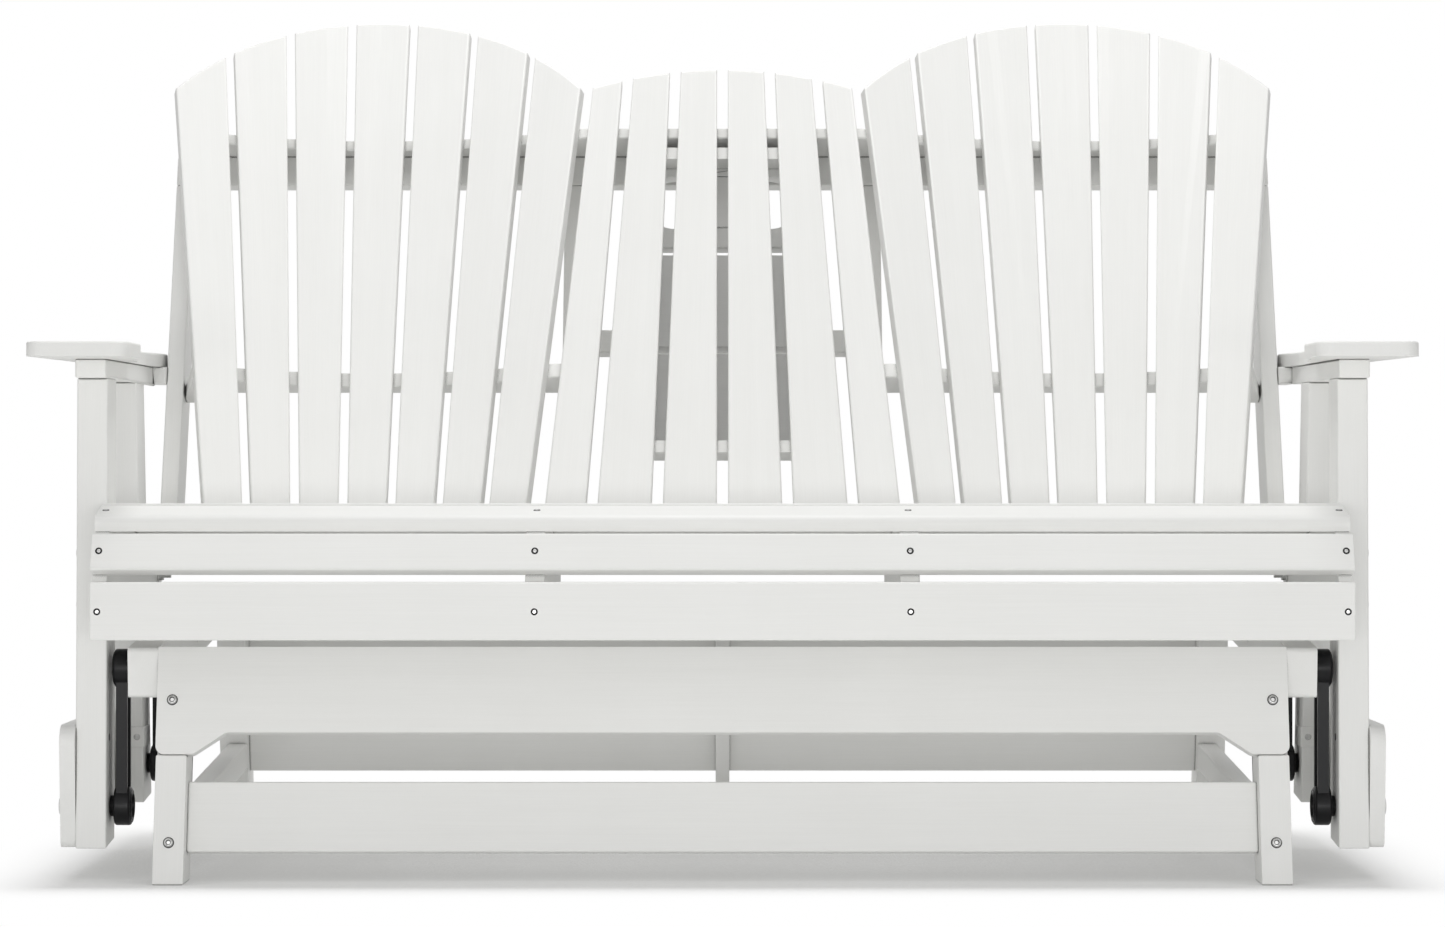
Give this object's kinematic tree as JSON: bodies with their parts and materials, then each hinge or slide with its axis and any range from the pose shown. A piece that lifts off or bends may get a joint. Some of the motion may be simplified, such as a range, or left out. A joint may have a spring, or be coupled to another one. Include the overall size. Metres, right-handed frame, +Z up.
{
  "type": "glider loveseat",
  "caption": "Porch glider loveseat in white poly lumber: slatted seat on swing hangers, fanned scalloped back, paddle arms and a fold-down console with cup holes.",
  "frame": {"origin": "on the floor under the middle of the glider's box, at rest", "axes": "+Z up, -Y towards the front of the seat, +X to the sitter's left"},
  "size_m": [1.6776, 0.831, 1.1156],
  "materials": {
    "poly_lumber": "white, fine brushed grain",
    "hanger": "moulded black",
    "bush": "smooth black",
    "steel": "plain"
  },
  "bodies": {
    "base": {"base_centre_stile": "poly_lumber", "base_front_board": "poly_lumber", "base_front_leg_left": "poly_lumber", "base_front_leg_right": "poly_lumber", "base_front_rail": "poly_lumber", "base_rear_board": "poly_lumber", "base_rear_leg_left": "poly_lumber", "base_rear_leg_right": "poly_lumber", "base_rear_rail": "poly_lumber", "base_stretcher_left": "poly_lumber", "base_stretcher_right": "poly_lumber", "hanger_beam_left": "poly_lumber", "hanger_beam_right": "poly_lumber", "upper_pivot_bolts": "steel"},
    "seat": {"arm_left": "poly_lumber", "arm_level_rail_left": "poly_lumber", "arm_level_rail_right": "poly_lumber", "arm_right": "poly_lumber", "console_hinge_arms": "poly_lumber", "front_post_left": "poly_lumber", "front_post_right": "poly_lumber", "inner_upright_left": "poly_lumber", "inner_upright_right": "poly_lumber", "lower_back_rail_left": "poly_lumber", "lower_back_rail_right": "poly_lumber", "lower_pivot_bolts": "steel", "middle_outer_slats": "poly_lumber", "middle_rear_rail": "poly_lumber", "outer_upright_left": "poly_lumber", "outer_upright_right": "poly_lumber", "rear_post_left": "poly_lumber", "rear_post_right": "poly_lumber", "scalloped_top_board": "poly_lumber", "seat_apron": "poly_lumber", "seat_middle_support_left": "poly_lumber", "seat_middle_support_right": "poly_lumber", "seat_nosing_slat": "poly_lumber", "seat_riser_slat": "poly_lumber", "seat_side_rail_left": "poly_lumber", "seat_side_rail_right": "poly_lumber", "seat_slats": "poly_lumber", "side_board_left": "poly_lumber", "side_board_right": "poly_lumber", "side_slats_left": "poly_lumber", "side_slats_right": "poly_lumber", "top_rail": "poly_lumber", "under_arm_rail_left": "poly_lumber", "under_arm_rail_right": "poly_lumber"},
    "console": {"console_slats": "poly_lumber", "console_frame": "poly_lumber", "console_boards": "poly_lumber", "console_hinge_pins": "steel"},
    "hanger_front_left": {"hanger_front_left": "hanger", "hanger_bushes_front_left": "bush"},
    "hanger_front_right": {"hanger_front_right": "hanger", "hanger_bushes_front_right": "bush"},
    "hanger_rear_left": {"hanger_rear_left": "hanger", "hanger_bushes_rear_left": "bush"},
    "hanger_rear_right": {"hanger_rear_right": "hanger", "hanger_bushes_rear_right": "bush"}
  },
  "joints": [
    {"name": "glide", "type": "hinge", "parent": "base", "child": "hanger_front_left", "pos_m": [-0.744, -0.2455, 0.259], "axis": [1, 0, 0], "range_deg": [-24, 24]},
    {"name": "seat_level", "type": "hinge", "parent": "hanger_front_left", "child": "seat", "pos_m": [-0.744, -0.2455, 0.088], "axis": [1, 0, 0], "range_deg": [-24, 24]},
    {"name": "swing_front_right", "type": "hinge", "parent": "base", "child": "hanger_front_right", "pos_m": [0.744, -0.2455, 0.259], "axis": [1, 0, 0], "range_deg": [-24, 24]},
    {"name": "swing_rear_left", "type": "hinge", "parent": "base", "child": "hanger_rear_left", "pos_m": [-0.744, 0.0795, 0.28858], "axis": [1, 0, 0], "range_deg": [-24, 24]},
    {"name": "swing_rear_right", "type": "hinge", "parent": "base", "child": "hanger_rear_right", "pos_m": [0.744, 0.0795, 0.28858], "axis": [1, 0, 0], "range_deg": [-24, 24]},
    {"name": "console_fold", "type": "hinge", "parent": "seat", "child": "console", "pos_m": [0, 0.05266, 0.53001], "axis": [1, 0, 0], "range_deg": [0, 110.5]}
  ],
  "couplings": [
    {"joint": "seat_level", "follows": "glide", "ratio": -1},
    {"joint": "swing_front_right", "follows": "glide", "ratio": 1},
    {"joint": "swing_rear_left", "follows": "glide", "ratio": 1},
    {"joint": "swing_rear_right", "follows": "glide", "ratio": 1}
  ]
}
